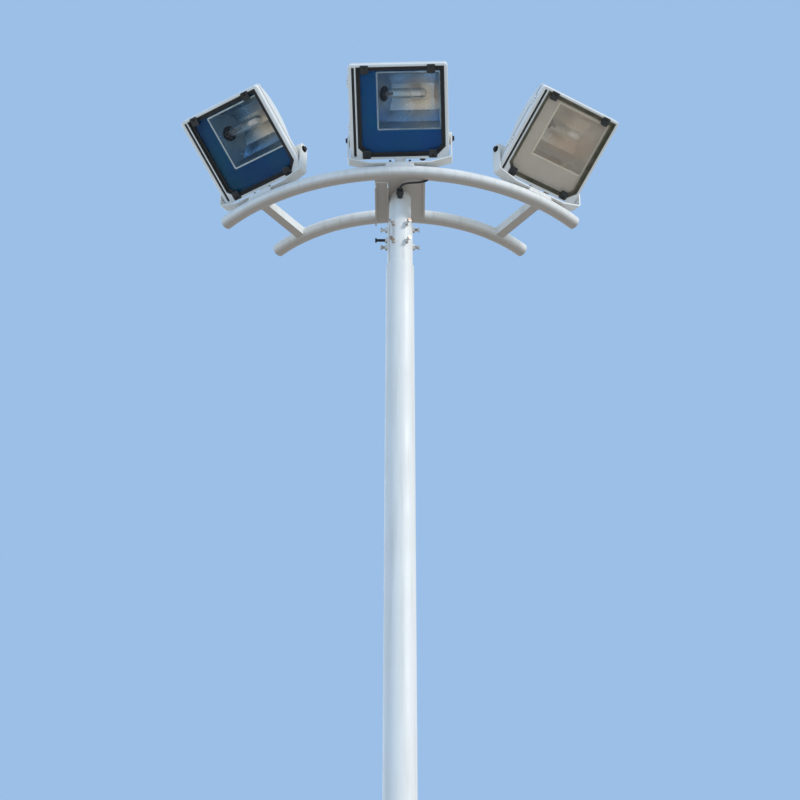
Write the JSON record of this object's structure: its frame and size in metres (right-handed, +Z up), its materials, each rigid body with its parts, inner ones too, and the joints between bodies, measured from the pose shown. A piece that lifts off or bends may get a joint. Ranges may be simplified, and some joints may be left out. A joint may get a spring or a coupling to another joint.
{
  "type": "high mast floodlight tower",
  "caption": "Tapered round steel mast on a bolted base flange, with a headframe of curved tubes that carries square tilting floodlights on yokes.",
  "frame": {"origin": "centre of the base flange's underside, where the mast stands on its foundation", "axes": "+Z up along the mast; -Y is the side that the floodlights face; +X is on the right of somebody who faces them"},
  "size_m": [1.9098, 0.8891, 8.1021],
  "materials": {
    "white_paint": "gloss white paint over steel",
    "cast_white": "white powder coat over cast aluminium",
    "door_silver": "pale silver paint over cast aluminium",
    "clear_glass": "toughened clear glass",
    "black_plastic": "moulded black",
    "navy_mask": "dark blue satin paint",
    "bright_aluminium": "semi-bright anodised sheet",
    "ceramic": "glazed white porcelain",
    "bulb_glass": "clear lamp glass",
    "black_steel": "blackened steel",
    "zinc_steel": "zinc plate, dulled",
    "black_rubber": "matte black rubber"
  },
  "bodies": {
    "mast": {"mast_shaft": "white_paint", "base_flange": "white_paint", "base_gussets": "white_paint", "hand_hole_cover": "white_paint", "head_stub": "white_paint", "head_collar": "white_paint", "collar_screws": "zinc_steel", "outer_arc": "white_paint", "inner_arc": "white_paint", "arc_ties": "white_paint", "saddle_plate": "white_paint", "saddle_channel": "white_paint", "cable_gland": "black_rubber", "supply_lead": "black_rubber", "lamp_pads": "white_paint", "left_yoke": "white_paint", "middle_yoke": "white_paint", "right_yoke": "white_paint"},
    "left_floodlight": {"left_housing": "cast_white", "left_door_frame": "door_silver", "left_cover_glass": "clear_glass", "left_corner_clips": "black_plastic", "left_mask_plate": "navy_mask", "left_reflector": "bright_aluminium", "left_lamp_holder": "ceramic", "left_bulb": "bulb_glass", "left_pivot_bolts": "black_steel"},
    "middle_floodlight": {"middle_housing": "cast_white", "middle_door_frame": "door_silver", "middle_cover_glass": "clear_glass", "middle_corner_clips": "black_plastic", "middle_mask_plate": "navy_mask", "middle_reflector": "bright_aluminium", "middle_lamp_holder": "ceramic", "middle_bulb": "bulb_glass", "middle_pivot_bolts": "black_steel"},
    "right_floodlight": {"right_housing": "cast_white", "right_door_frame": "door_silver", "right_cover_glass": "clear_glass", "right_corner_clips": "black_plastic", "right_mask_plate": "navy_mask", "right_reflector": "bright_aluminium", "right_lamp_holder": "ceramic", "right_bulb": "bulb_glass", "right_pivot_bolts": "black_steel"}
  },
  "joints": [
    {"name": "left_floodlight_tilt", "type": "hinge", "parent": "mast", "child": "left_floodlight", "pos_m": [-0.59837, 0.04742, 7.884], "axis": [0.809, -0.5878, 0], "range_deg": [-54.5, 35.5]},
    {"name": "middle_floodlight_tilt", "type": "hinge", "parent": "mast", "child": "middle_floodlight", "pos_m": [0, -0.147, 7.884], "axis": [0.9994, -0.0349, 0], "range_deg": [-54.5, 35.5]},
    {"name": "right_floodlight_tilt", "type": "hinge", "parent": "mast", "child": "right_floodlight", "pos_m": [0.59837, 0.04742, 7.884], "axis": [0.809, 0.5878, 0], "range_deg": [-54.5, 35.5]}
  ]
}
